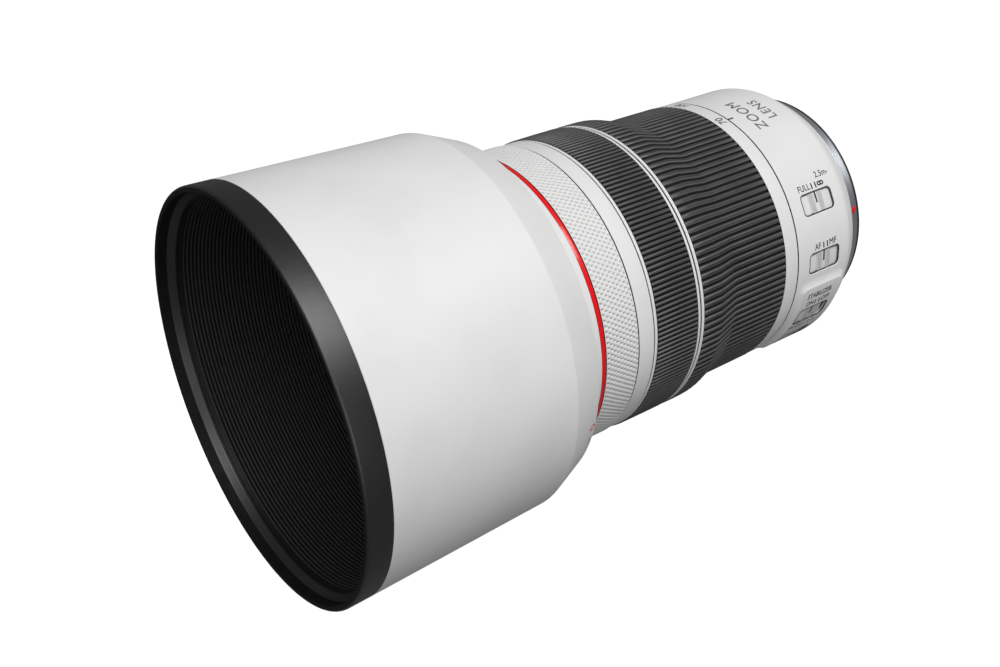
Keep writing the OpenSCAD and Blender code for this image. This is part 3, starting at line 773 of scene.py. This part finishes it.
def build_control_ring():
    """Finely knurled ring: a staggered lattice of slanted dimples that runs from edge to edge."""
    y0, y1, r = span("control_ring")
    columns, pitch, per = 180, 2.104, 8
    depth, edge = 0.5, 0.15
    first, last = y0 + 0.14, y1 - 0.14
    rows = np.linspace(first, last, 59)

    def relief(radius, y, share):
        fade = np.clip((y - first) / edge, 0, 1) * np.clip((last - y) / edge, 0, 1)
        fade = np.where((y < first) | (y > last) | (radius < r - 0.6), 0, fade)
        along, around = TAU * (y - y0 - 0.75) / pitch, TAU * share * columns
        wave = 0.62 * np.cos(around - along) + 0.38 * np.cos(around + along)
        return -depth * fade * np.clip(wave, 0, 1) ** 1.1
    loop = [(RING_BORE, y1), (RING_BORE, y0), (r - 0.5, y0), (r - 0.1, y0), (r - 0.02, y0 + 0.1)]
    loop += [(r - 0.01, y) for y in rows]
    loop += [(r - 0.02, y1 - 0.1), (r - 0.1, y1), (r - 0.5, y1)]
    thing = piece("control_ring_knurled", lathe(loop, columns * per, relief), "control_ring", white_knurl_painted_shade,
                  "control_ring", sharp=75)
    note_depth(thing, [(y0, r), (y1, r)])
    # Painted shade: both end faces are dark and stand for the shade in the seams beside the ring.
    inner_black_and_painted_shade(thing, r - 0.15, rear=y0 + 0.01)
    inner_black_and_painted_shade(thing, r - 0.15, front=y1 - 0.01)


# A rib's section: how far from its groove's middle to its crest's, and the share of the groove's depth there
RIB_SECTION = ((0, 1.0), (0.2, 1.0), (0.3, 0.7), (0.4, 0.3), (0.55, 0.14), (0.78, 0.02), (1, 0))


def grip_loop(crest, thick):
    """Closed outline of a rubber sleeve from the (y, radius) line of its crests, with softened ends."""
    (y0, r0), (y1, r1) = crest[0], crest[-1]
    soft = [(r0 - 0.55, y0), (r0 - 0.2, y0 + 0.05), (r0 - 0.03, y0 + 0.25)]
    soft += [(r, y) for y, r in crest if y0 + 0.5 < y < y1 - 0.5]
    soft += [(r1 - 0.03, y1 - 0.25), (r1 - 0.2, y1 - 0.05), (r1 - 0.55, y1)]
    inner = [(r - thick, y) for y, r in crest[::-1]]
    return soft + inner


def build_grip(ring, crest, thick, ribs, per, depth):
    """A rubber sleeve with straight ribs, each made of per columns of points."""
    def relief(radius, y, share):
        # The grooves are in the outer line only, and run out at its ends
        weight = np.interp(radius - np.interp(y, *zip(*crest)), (-1, -0.55, -0.25), (0, 0.35, 1))
        u = np.abs(share * ribs % 1 - 0.5) * 2
        return -depth * np.interp(u, *zip(*RIB_SECTION)) * weight
    thing = piece(ring + "_ring_rubber", lathe(grip_loop(crest, thick), ribs * per, relief), ring + "_ring",
                  grip_rubber, ring + "_grip", sharp=80)
    note_depth(thing, crest)


def build_focus_grip():
    y0, y1, r = span("focus_grip")
    build_grip("focus", [(y0, r), ((y0 + y1) / 2, r), (y1, r)], 1.7, 192, 16, 0.9)


SCALE_R = 39.0
# Station of the key that turns the cam barrel, and of the slot it sweeps
KEY_Y = -35.8
# The zoom ring's crests: (y, radius) from the wide front, down one step, to the narrow back
ZOOM_STEP = [(-68.5, 41.72), (-66.0, 41.66), (-64.9, 41.56), (-64.2, 41.38), (-63.5, 41.15), (-58.6, 39.68),
             (-57.9, 39.47), (-57.2, 39.33), (-56.0, 39.27), (-50.0, 39.24)]


def build_zoom_grip():
    y0, y1, r = span("zoom_grip")
    build_grip("zoom", [(y0, r)] + ZOOM_STEP + [(y1, 39.2)], 1.12, 129, 20, 0.85)


def build_focus_body():
    y0, y1, r = span("focus_grip")
    front, back, _ = span("focus_sleeve")
    bed = r - GRIP_BED
    thing = turned("focus_ring_body", [
        (RING_BORE, front), (41.35, front, 0.2), (41.35, y0 - 0.04, 0.1), (bed, y0 - 0.04), (bed, y1 + 0.04),
        (41.5, y1 + 0.04, 0.12), (41.5, back, 0.25), (RING_BORE, back),
    ], 384, "focus_ring", white_ring, "focus_sleeve")
    # Painted shade: the end faces are dark and stand for the shade in the seams beside the ring.
    inner_black_and_painted_shade(thing, 41.15)


def build_zoom_body():
    y0, y1, r = span("zoom_grip")
    front, back, _ = span("zoom_sleeve")
    bed, back_bed = r - GRIP_BED, 38.05
    key = bend(slab(5, 2.8, 0.1, 36, 38.3), 300, KEY_Y, 38)
    thing = turned("zoom_ring_body", [
        (RING_BORE, front), (41.5, front, 0.25), (41.5, y0 - 0.04, 0.12), (bed, y0 - 0.04), (bed, -66),
        (back_bed, -59), (back_bed, y1 + 0.03), (SCALE_R, y1 + 0.03, 0.08), (SCALE_R, back, 0.2),
        (RING_BORE, back),
    ], 384, "zoom_ring", white_ring, "zoom_sleeve", cuts=[key])
    # Painted shade: the end faces, and the step behind the grip that shows through its grooves, are dark and
    # stand for the shade there.
    inner_black_and_painted_shade(thing, 41.25, rear=y1 - 2)
    inner_black_and_painted_shade(thing, 38.8, front=y1 - 2)


# ---- fixed barrel

BARREL_Y0, BARREL_Y1, BARREL_R = span("rear_barrel")
# Each switch's angle, its finger piece's station and its window's
KNOBS = {
    "limiter_knob": (48.9, -22.1, -21.9), "focus_mode_knob": (73.9, -22.1, -21.9),
    "stabilizer_knob": (100.5, -22.8, -22.6), "stabilizer_mode_knob": (117.5, -24.3, -22.6),
}
# Front and rear ends of the raised decks of the two switches in the panel
DECKS = {"stabilizer_knob": (-28.65, -18.35), "stabilizer_mode_knob": (-28.65, -20.05)}
WINDOW_L, WINDOW_W = 12.4, 6.3
LOCK_PHI, LOCK_Y = -62.0, -26.0
PANEL_R = 39.75
PANEL_PHI = (84.5, 127.0)
SEAM = 0.3


def build_main_barrel():
    """Inner barrel with the plain white band between the control and focus rings."""
    front, back = span("control_ring")[1] + SEAM, span("focus_sleeve")[0] - SEAM
    slot = bend(slab(57, 3.6, 0.1, 36, 39.5), 337.5, KEY_Y, 37.3)
    thing = turned("main_barrel", [
        (36.9, -104.9), (37.6, -104.9, 0.1), (37.6, front), (41.0, front), (41.0, front + 0.15),
        (41.35, front + 0.2, 0.05), (41.35, back, 0.2), (37.6, back), (37.6, -33.5), (36.9, -33.5),
    ], 384, "barrel", white_ring, "outer_tube", cuts=[slot])
    # Painted shade: the band's end faces are dark and stand for the shade in the seams beside it.
    inner_black_and_painted_shade(thing, 41.2)


def window_cut(phi, y, top, w=WINDOW_W, l=WINDOW_L, bevel=0.14):
    return bend(slab(w, l, 1.4, 35, top, flare=bevel), phi, y, BARREL_R)


def pocket_cut(phi, y0, y1, half):
    return bend(slab(radians(2 * half) * 38, y1 - y0, 0.3, 36, 38.45), phi, (y0 + y1) / 2, 38)


def build_rear_shell():
    skirt = span("mount_ring")[2]
    cuts = [window_cut(phi, y, BARREL_R) for phi, _, y in KNOBS.values()]
    cuts += [pocket_cut(phi, y - 9, y + 9, 6.2) for phi, _, y in KNOBS.values()]
    cuts += [window_cut(LOCK_PHI, LOCK_Y, BARREL_R, 7, 9), pocket_cut(LOCK_PHI, -32.5, -17, 6.8)]
    thing = turned("rear_shell", [
        (37.3, BARREL_Y0), (38.6, BARREL_Y0), (38.6, BARREL_Y0 + 0.05), (BARREL_R, BARREL_Y0 + 0.12, 0.05),
        (BARREL_R, -30.5), (BARREL_R, -21.9), (BARREL_R, -11.6, 5.0), (skirt + 0.05, BARREL_Y1 - 0.04, 0.2),
        (34.2, BARREL_Y1 - 0.04), (36, -9.4), (37.3, -12.5),
    ], 512, "barrel", white_body, "rear_barrel", steps=8, cuts=cuts)
    # Painted shade: the front face and the walls of the windows and pockets are dark and stand for the shade in
    # the seam and in the windows.
    inner_black_and_painted_shade(thing, BARREL_R - 0.12, rear=-13)
    # Painted shadow: a black frame inside each window draws the dark gap round the sliding plate.
    for name, (phi, _, y) in KNOBS.items():
        top = PANEL_R - 0.03 if name in DECKS else BARREL_R - 0.15
        shape = painted_shadow_frame_ring(WINDOW_W + 0.1, WINDOW_L + 0.1, 1.45, 0.38, top - 0.22, top)
        piece(name + "_frame", bend(shape, phi, y, BARREL_R), "barrel", black_moulded)


def build_panel():
    """Raised panel that holds the two stabilizer switches. It rises in a hollow sweep to a crisp corner."""
    low, high, sweep, corner, turn = -29.8, -13.4, 2.7, 1.5, 0.22
    phi = sum(PANEL_PHI) / 2
    w = radians(PANEL_PHI[1] - PANEL_PHI[0]) * BARREL_R
    rise = PANEL_R - BARREL_R
    steps = [(sweep * (1 - t), -0.01 + (rise - 0.12) * t ** 2.2) for t in np.linspace(0, 1, 12)]
    steps += [(-0.08, rise - 0.06), (-turn, rise - 0.015), (-2 * turn, rise)]
    bm = skinned([[(x, y, BARREL_R + height) for x, y in panel_line(w, low, high, corner, out)]
                  for out, height in [(sweep, -0.5)] + steps])
    sliced(bm, 0, w + 2 * sweep, 0.6)
    cuts = [window_cut(KNOBS[name][0], KNOBS[name][2], PANEL_R, bevel=0.05) for name in DECKS]
    piece("stabilizer_panel_cover", bend(taken(bm), phi, 0, BARREL_R), "barrel", white_body,
          "stabilizer_panel", cuts=cuts, slot="white_plastic")


def panel_line(w, low, high, corner, out):
    """The panel's outline grown by some millimetres, but by no more than 1.2 at its rear end."""
    rear = min(out, 1.2)
    points = outline(w + 2 * out, high - low + out + rear, corner + max(out, 0), 12)
    shift = (low - out + high + rear) / 2
    return [(x, y + shift) for x, y in points]


def build_knobs():
    for node, (phi, y, _) in KNOBS.items():
        build_knob(node, phi, y, PANEL_R - 0.05 if node in DECKS else 38.9)
    build_knob("zoom_lock_knob", LOCK_PHI, LOCK_Y + 0.9, 39.6, 6.2, lock=True)


def build_knob(node, phi, y, top, w=5.6, lock=False):
    """A sliding switch: its curved plate, a finger piece with two ribbed grey pads, and a pointer."""
    low, high, _ = span(node)
    half = 5.9 if lock else 5.1
    shapes = [slab(radians(2 * half) * 37.75, high - low, 0.3, 37.51, 38.3, 0.05, dy=(low + high) / 2 - y)]
    base = top - 0.2
    if node in DECKS:
        front, rear = DECKS[node]
        shapes.append(slab(w, rear - front, 1.2, 37.9, top - 0.35, 0.15, dy=(front + rear) / 2 - y))
    shapes.append(slab(w - 0.02, 5.3, 0.35, 37.9, base, 0.12))
    piece(node + "_plate", bend(joined(*shapes), phi, y, 38), node, white_knob, node)
    ribs = []
    for side in (-1, 1):
        ribs.append(slab(w - 0.08, 1.75, 0.1, base - 0.3, top - 0.14, 0.05, dy=side * 1.62))
        for k in range(4):
            ribs.append(slab(w - 0.1, 0.27, 0.1, base - 0.2, top - 0.01, 0.07, dy=side * (1.0 + k * 0.43)))
    piece(node + "_ribs", bend(joined(*ribs), phi, y, 38.5), node, grey_pad)
    if not lock:
        mark = mirrored(slab(w * 0.54, 0.6, 0.1, base - 0.3, base + 0.07, 0.03, t=w * 0.23), -1, 1, 1)
        piece(node + "_pointer", bend(mark, phi, y + 0.05, 38.5), node, dark_ink)


# ---- markings

# How far printed lines stand above the surface, and how far they reach below it
INK, INK_ROOT = 0.03, 0.3


def label(name, text, size, phi, y, squeeze=1.0, weight=0.03, radius=BARREL_R, body="barrel", along=True,
          finish=dark_ink, gap=1.06):
    """Generic lettering wrapped on the barrel as a thin raised layer of ink, whose sloped sides add weight.
    along is True for words read along the axis, and False for words read around it from behind."""
    curve = bpy.data.curves.new(name, "FONT")
    curve.body = text
    curve.size = size
    curve.align_x = curve.align_y = "CENTER"
    curve.bevel_depth = weight
    curve.bevel_resolution = 0
    curve.resolution_u = 4
    curve.space_character = gap
    holder = placed(name + "_font", curve)
    graph = bpy.context.evaluated_depsgraph_get()
    mesh = bpy.data.meshes.new_from_object(holder.evaluated_get(graph))
    co = np.array([v.co for v in mesh.vertices])
    faces = [list(p.vertices) for p in mesh.polygons]
    bpy.data.curves.remove(curve)
    bpy.data.meshes.remove(mesh)
    u, v, h = co[:, 0] * squeeze, co[:, 1], co[:, 2] + radius
    flat = np.stack([-v, u, h], -1) if along else np.stack([-u, -v, h], -1)
    piece(name, bend((flat, faces), phi, y, radius), body, finish, fix=True, sharp=30)


def tick(name, phi, y, w=1.7, l=0.5, radius=BARREL_R):
    """A short printed line."""
    piece(name, bend(slab(w, l, 0.15, radius - INK_ROOT, radius + INK, 0.02), phi, y, radius), "barrel",
          dark_ink)


def infinity_sign(name, phi, y, radius, w, l, line):
    """The sign for an endless distance: a closed ribbon that crosses itself, as two rings side by side."""
    rings = []
    for side in (-1, 1):
        loops = []
        for grow, height in ((0, -INK_ROOT), (0, INK), (-line, INK), (-line, -INK_ROOT)):
            across, along, shift = w / 2 + grow, l / 4 + line / 4 + grow, side * (l / 4 - line / 4)
            loops.append([(across * sin(a), along * cos(a) + shift, radius + height)
                          for a in (TAU * k / 28 for k in range(28))])
        rings.append(taken(skinned(loops, closed=True)))
    piece(name, bend(joined(*rings), phi, y, radius), "barrel", dark_ink, fix=True, sharp=30)


def build_markings():
    for text, turn in (("70", 0), ("100", 23), ("135", 44), ("200", 75)):
        label("zoom_scale_" + text, text, 3.7, -turn, -35.25, 0.86, 0.04, SCALE_R, "zoom_ring", along=False)
    tick("zoom_index", 0.45, -31.75, 0.6, 2.0)
    name_words = {"along": False, "finish": grey_ink}
    label("barrel_word_1", "ZOOM", 5.2, 0.5, -25.1, 0.88, 0.06, gap=1.13, **name_words)
    label("barrel_word_2", "LENS", 4.9, 0.3, -18.8, 0.84, 0.05, gap=1.12, **name_words)
    # Words and lines stand just above their switch's window
    above = degrees(WINDOW_W / 2 / BARREL_R) + 2.2
    limiter, focus_mode = KNOBS["limiter_knob"][0] - above, KNOBS["focus_mode_knob"][0] - above
    stabilizer, mode = 93.3, 107.4
    for knob, phi in (("limiter_knob", limiter), ("focus_mode_knob", focus_mode)):
        tick(knob + "_tick_1", phi + 0.1, -22.4, 1.75)
        tick(knob + "_tick_2", phi + 0.1, -20.85, 1.75)
    label("limiter_left", "FULL", 2.5, limiter, -25.6, 0.858, 0.045)
    infinity_sign("limiter_right", limiter, -18.85, BARREL_R, 1.4, 2.6, 0.42)
    label("limiter_distance", "2.5m-", 2.5, limiter - 3.7, -17.1, 0.897, 0.04)
    label("focus_mode_left", "AF", 2.5, focus_mode, -24.8, 0.819, 0.045)
    label("focus_mode_right", "MF", 2.5, focus_mode, -18.6, 0.95, 0.045)
    label("stabilizer_title", "STABILIZER", 2.4, 89.3, -22.3, 0.8, 0.055, PANEL_R)
    label("stabilizer_left", "ON", 2.4, stabilizer, -25.4, 0.78, 0.045, PANEL_R)
    label("stabilizer_right", "OFF", 2.4, stabilizer, -18.9, 0.78, 0.045, PANEL_R)
    tick("stabilizer_tick_1", stabilizer + 0.1, -23.1, radius=PANEL_R)
    tick("stabilizer_tick_2", stabilizer + 0.1, -21.4, radius=PANEL_R)
    label("stabilizer_mode_title", "MODE", 2.1, mode, -26.3, 0.9, radius=PANEL_R)
    for text, y in (("1", -22.6), ("2", -20.7), ("3", -18.8)):
        label("stabilizer_mode_" + text, text, 2.1, mode, y, radius=PANEL_R)
    lock = LOCK_PHI - degrees(3.5 / BARREL_R) - 2.6
    label("zoom_lock_word", "LOCK", 2.3, lock, LOCK_Y, 0.78)


# ---- mount

MOUNT_Y0, MOUNT_Y1, SKIRT_R = span("mount_ring")
SEAL_Y0, SEAL_Y1, SEAL_R = span("mount_seal")
SCREW_PHI = (20, 110, 200, 290)
SCREW_PCD = 29.8


def build_mount():
    corners = [
        (32.4, MOUNT_Y0), (SKIRT_R, MOUNT_Y0, 0.15), (SEAL_R - 0.02, SEAL_Y0 - 0.02, 0.12),
        (SEAL_R - 1.1, SEAL_Y0 - 0.02), (SEAL_R - 1.1, 0, 0.15), (27.2, 0, 0.1), (27.2, -0.8),
        (25.4, -0.8), (25.4, MOUNT_Y1, 0.3), (22.6, MOUNT_Y1, 0.25), (22.6, -2.9), (24.4, -2.9),
        (24.4, -4), (32.4, -4),
    ]
    cuts = []
    for phi in SCREW_PHI:
        cuts.append(post(phi, SCREW_PCD, [
            (0.001, -5), (1.1, -5), (1.1, -1.2), (2.1, -1.2), (2.1, 1), (0.001, 1)]))
    cuts.append(post(340, SCREW_PCD, [
        (0.001, -2.2), (1.7, -2.2), (1.7, -0.1), (1.9, 0.1), (1.9, 1), (0.001, 1)]))
    turned("bayonet_mount", corners, 384, "barrel", mount_metal, "mount_ring", cuts=cuts)
    lugs = [bend(slab(radians(54) * 26, 2, 0.5, 25.1, 26.85, 0.15), phi, 4.3, 26)
            for phi in (15, 135, 255)]
    piece("bayonet_lugs", joined(*lugs), "barrel", mount_metal)


def build_seal():
    front, inner = SEAL_Y0 + 0.02, SEAL_R - 1.05
    turned("weather_seal", [
        (inner, front), (SEAL_R, front, 0.25), (SEAL_R, SEAL_Y1, 0.3), (inner, SEAL_Y1, 0.2),
    ], 320, "barrel", seal_rubber, "mount_seal")


def build_screws():
    heads, crosses = [], []
    for phi in SCREW_PHI:
        heads.append(post(phi, SCREW_PCD, [
            (0.001, -8.5), (0.95, -8.5, 0.2), (0.95, -1.15), (1.95, -1.15), (1.95, -0.12, 0.25), (0.001, -0.1)]))
        x, z = beside(phi, SCREW_PCD)
        for w, l in ((2.2, 0.5), (0.5, 2.2)):
            co, faces = slab(w, l, 0.1, -0.7, 0.4, 0.02, pitch=9)
            co = np.stack([co[:, 0] + x, co[:, 2], co[:, 1] + z], -1)
            crosses.append((co, faces))
    piece("flange_screws", joined(*heads), "barrel", bright_steel, "mount_screws", cuts=crosses)


def build_contacts():
    radius = 21.3
    block = slab(radians(64) * radius, 6.8, 0.6, 20.25, 22.45, 0.2)
    piece("contact_carrier", bend(block, 180, 1.2, radius), "barrel", black_moulded, "contact_block")
    pin = [(0.001, 4.3), (0.5, 4.3), (0.5, 4.95, 0.25), (0.001, 4.95)]
    pins = [post(180 + (k - 5.5) * 5, radius, pin, 24) for k in range(12)]
    piece("contact_pads", joined(*pins), "barrel", brass, "contact_pins", fix=True)


def build_mount_index():
    """Red mark on the tapered metal skirt that lines up with the camera's."""
    y0, y1 = -5.42, -1.9
    taper = (SKIRT_R - SEAL_R) / (SEAL_Y0 - MOUNT_Y0)
    mark = on_cone(slab(1.6, y1 - y0, 0.6, -0.2, INK, 0.02), (y0 + y1) / 2, MOUNT_Y0, SKIRT_R, taper)
    piece("mount_index", bend(mark, 60, 0, SKIRT_R), "barrel", red_ink)


def build_hood_mark():
    """Small red ring and bar on the hood's rear cone that mark its locked place."""
    phi, radius = 89.6, 48.2
    slope = (SHOULDER_R - HOOD_TAIL_R) / (HOOD_BACK - 0.35 - SHOULDER_Y)
    cone = (-114.6, SHOULDER_Y, SHOULDER_R, slope)
    co, faces = lathe([(0.62, -0.1), (1.0, -0.1), (1.0, INK), (0.62, INK)], 48)
    ring = on_cone((co[:, [0, 2, 1]], faces), *cone)
    piece("hood_mark", bend(ring, phi, 0, radius), "hood", red_ink, fix=True, sharp=30)
    bar = on_cone(slab(2.4, 0.4, 0.15, -0.1, INK, 0.02), *cone)
    piece("hood_mark_bar", bend(bar, phi + 5.6, 0, radius), "hood", red_ink)


# ---- stage

def seen_by_camera_only(thing):
    """Keeps a backdrop from lighting the object or showing in its reflections."""
    for ray in ("diffuse", "glossy", "transmission", "volume_scatter"):
        setattr(thing, "visible_" + ray, False)


def backdrop_material(name, paint, glow):
    n = Nodes(name, Roughness=0.9, Specular_IOR_Level=0.1, Emission_Color=(1, 1, 1, 1), Emission_Strength=glow)
    n.colour(n.drift(3, 2, paint * 0.98, paint))
    return n.material


def build_stage():
    reach, low, dome_r, turns, rings = 7.0, -0.32, 7.4, 48, 14
    corners = [(-reach, -reach, low), (reach, -reach, low), (reach, reach, low), (-reach, reach, low)]
    floor = mesh_object("studio_floor", (np.array(corners) / MM, [(0, 1, 2, 3)]))
    floor.data.materials.append(backdrop_material("pale_floor", 0.5, 0.72))
    seen_by_camera_only(floor)
    a, b = np.meshgrid(np.linspace(-0.1, 1.55, rings), TAU * np.arange(turns) / turns, indexing="ij")
    co = dome_r * np.stack([np.cos(a) * np.cos(b), np.cos(a) * np.sin(b), np.sin(a)], -1).reshape(-1, 3)
    faces = [(i + k, i + (k + 1) % turns, i + turns + (k + 1) % turns, i + turns + k)
             for i in range(0, (rings - 1) * turns, turns) for k in range(turns)]
    dome = mesh_object("studio_backdrop", (co / MM, faces))
    dome.data.materials.append(backdrop_material("pale_backdrop", 0.1, 1.02))
    dome.visible_shadow = False
    seen_by_camera_only(dome)
    scene.world = bpy.data.worlds.new("studio")
    scene.world.use_nodes = True
    background = scene.world.node_tree.nodes["Background"]
    background.inputs["Color"].default_value = (1, 1, 1, 1)
    background.inputs["Strength"].default_value = 0.12


LIGHT_DISTANCE = 2.0


def softbox(name, level, across, along, direction, glossy=True):
    """An area light in a direction from the lens's middle and turned to it, its long side beside the lens.
    Sizes are in metres, and level is how bright it makes a white surface that faces it.
    A light that isn't glossy makes no highlight."""
    data = bpy.data.lights.new(name, "AREA")
    data.shape = "RECTANGLE"
    data.size, data.size_y = across, along
    data.energy = level * (pi * LIGHT_DISTANCE) ** 2
    light = placed(name, data)
    middle = Vector((0, -0.09, 0))
    aim = Vector(direction).normalized()
    side = (Vector((0, 1, 0)) - aim * aim.y).normalized()
    turn = Matrix((side.cross(aim), side, aim)).transposed()
    light.matrix_world = Matrix.Translation(middle + aim * LIGHT_DISTANCE) @ turn.to_4x4()
    light.visible_camera = False
    light.visible_glossy = glossy


def build_lights():
    softbox("key_light", 1.0, 0.85, 2.9, (0.3, 0.0, 0.94))
    softbox("fill_light", 0.185, 1.0, 1.6, (0.93, -0.3, 0.25))
    softbox("front_light", 0.07, 0.7, 0.7, (0.35, -0.9, 0.5))
    softbox("left_light", 0.1, 0.9, 1.6, (-0.95, 0.25, 0.3), glossy=False)
    softbox("rear_light", 0.04, 0.5, 0.35, (-0.05, 0.99, 0.1))


def build_camera():
    data = bpy.data.cameras.new("camera")
    data.lens = 42.987
    data.sensor_width = 36
    data.clip_start = 0.01
    data.clip_end = 60
    camera = placed("camera", data)
    camera.location = (0.18901, -0.27186, 0.20192)
    camera.rotation_euler = [radians(a) for a in (49.6885, -5.953, 53.7453)]
    scene.camera = camera


refinish_cad_nodes()
build_hood_shell()
build_hood_lugs()
build_hood_ring()
build_hood_lining()
build_hood_button()
build_hood_mark()
build_front_ring()
build_red_band()
build_extending_barrel()
build_name_bezel()
build_front_glass()
build_control_ring()
build_focus_body()
build_focus_grip()
build_zoom_body()
build_zoom_grip()
build_main_barrel()
build_rear_shell()
build_panel()
build_knobs()
build_markings()
build_mount()
build_seal()
build_screws()
build_contacts()
build_mount_index()
build_stage()
build_lights()
build_camera()
scene.view_settings.view_transform = "Standard"
